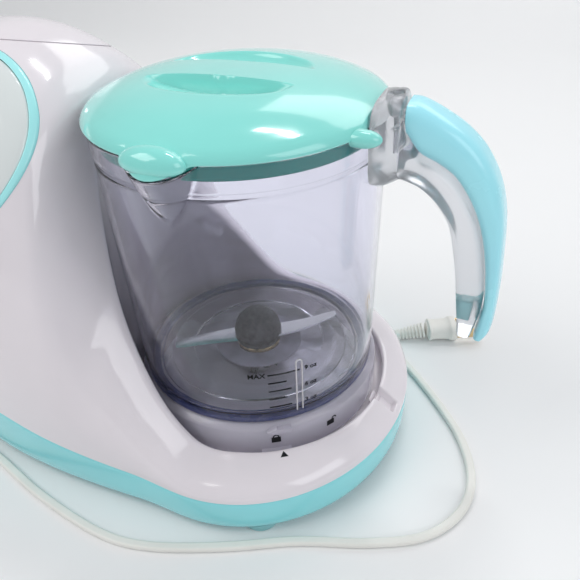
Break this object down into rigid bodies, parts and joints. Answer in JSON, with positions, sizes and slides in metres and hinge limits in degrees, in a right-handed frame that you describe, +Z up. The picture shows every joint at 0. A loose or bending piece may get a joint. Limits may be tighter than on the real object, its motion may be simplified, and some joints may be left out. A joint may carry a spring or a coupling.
{
  "type": "baby food maker",
  "caption": "Steam and blend baby food maker: tank column with round control panel, jug platform, clear twist-off jug with blade, spout, handle and domed lid, and a flat mains cord.",
  "frame": {"origin": "on the standing surface, under the middle of the machine's footprint without its cord", "axes": "+X from the tank column towards the jug's handle, +Y from the spout side to the back, +Z up"},
  "size_m": [0.3317, 0.2411, 0.2013],
  "materials": {
    "white_gloss": "polished white ABS",
    "aqua_gloss": "glossy aqua ABS",
    "aqua_ring": "glossy light aqua trim",
    "panel_grey": "smooth printed film",
    "mint_gloss": "glossy mint polypropylene",
    "skirt_green": "deeper green inner skirt",
    "grip_blue": "satin sky-blue grip",
    "clear_tritan": "clear moulded copolyester",
    "clear_collar": "clear moulded collar",
    "tank_plastic": "translucent tank",
    "steel": "stainless steel",
    "galvanised": "galvanised sheet",
    "brass": "turned brass",
    "dark_plastic": "dark grey nylon",
    "nylon": "natural nylon",
    "silicone": "soft silicone",
    "foot_rubber": "aqua rubber",
    "circuit_board": "solder-masked board",
    "cord_pvc": "warm white PVC"
  },
  "bodies": {
    "base": {"upper_housing": "white_gloss", "base_tray": "aqua_gloss", "panel_bezel": "aqua_ring", "touch_panel": "panel_grey", "control_board": "circuit_board", "water_tank": "tank_plastic", "boiler": "steel", "feed_tube": "silicone", "steam_tube": "silicone", "steam_nozzle": "dark_plastic", "drive_motor": "steel", "motor_bracket": "galvanised", "drive_belt": "dark_plastic", "lower_bearing": "brass", "upper_bearing": "brass", "seat_shaft_seal": "silicone", "interlock_switch": "dark_plastic", "rubber_foot_1": "foot_rubber", "rubber_foot_2": "foot_rubber", "rubber_foot_3": "foot_rubber", "rubber_foot_4": "foot_rubber", "housing_screw_1": "steel", "housing_screw_2": "steel", "housing_screw_3": "steel", "housing_screw_4": "steel", "cord_gland": "cord_pvc", "power_cord": "cord_pvc", "plug_strain_relief": "cord_pvc", "plug_body": "cord_pvc", "plug_prong_1": "brass", "plug_prong_2": "brass"},
    "motor_rotor": {"motor_shaft": "steel", "motor_pulley": "nylon"},
    "drive": {"drive_shaft": "steel", "driven_pulley": "nylon", "drive_coupling": "dark_plastic"},
    "tank_cover": {"tank_lid": "white_gloss", "tank_lid_gasket": "silicone"},
    "jug_seat": {"jug_seat_ring": "silicone"},
    "jug": {"jug_body": "clear_tritan", "jug_collar": "clear_collar", "jug_floor_gasket": "silicone", "blade_bush": "brass", "handle_frame": "clear_tritan", "handle_grip": "grip_blue", "handle_screw": "steel"},
    "blade": {"blade_shaft": "steel", "jug_coupling": "dark_plastic", "blade_hub": "dark_plastic", "blade_wings": "steel", "blade_cap": "dark_plastic"},
    "jug_lid": {"lid_shell": "mint_gloss", "lid_inner_ring": "skirt_green", "lid_gasket": "silicone"}
  },
  "joints": [
    {"name": "jug_lift", "type": "slide", "parent": "base", "child": "jug_seat", "axis": [0, 0, 1], "range_m": [0, 0.15]},
    {"name": "jug_twist", "type": "hinge", "parent": "jug_seat", "child": "jug", "pos_m": [0.038, 0, 0.028], "axis": [0, 0, 1], "range_deg": [-26, 0]},
    {"name": "blade_spin", "type": "hinge", "parent": "jug_seat", "child": "blade", "pos_m": [0.038, 0, 0.04], "axis": [0, 0, 1], "continuous": true},
    {"name": "lid_lift", "type": "slide", "parent": "jug", "child": "jug_lid", "axis": [0, 0, 1], "range_m": [0, 0.08]},
    {"name": "tank_lid_lift", "type": "slide", "parent": "base", "child": "tank_cover", "axis": [0, 0, 1], "range_m": [0, 0.06]},
    {"name": "drive_spin", "type": "hinge", "parent": "base", "child": "drive", "pos_m": [0.038, 0, 0.02], "axis": [0, 0, 1], "continuous": true},
    {"name": "motor_spin", "type": "hinge", "parent": "base", "child": "motor_rotor", "pos_m": [-0.067, 0, 0.02], "axis": [0, 0, 1], "continuous": true}
  ],
  "couplings": [
    {"joint": "drive_spin", "follows": "motor_spin", "ratio": 0.45},
    {"joint": "blade_spin", "follows": "motor_spin", "ratio": 0.45}
  ]
}
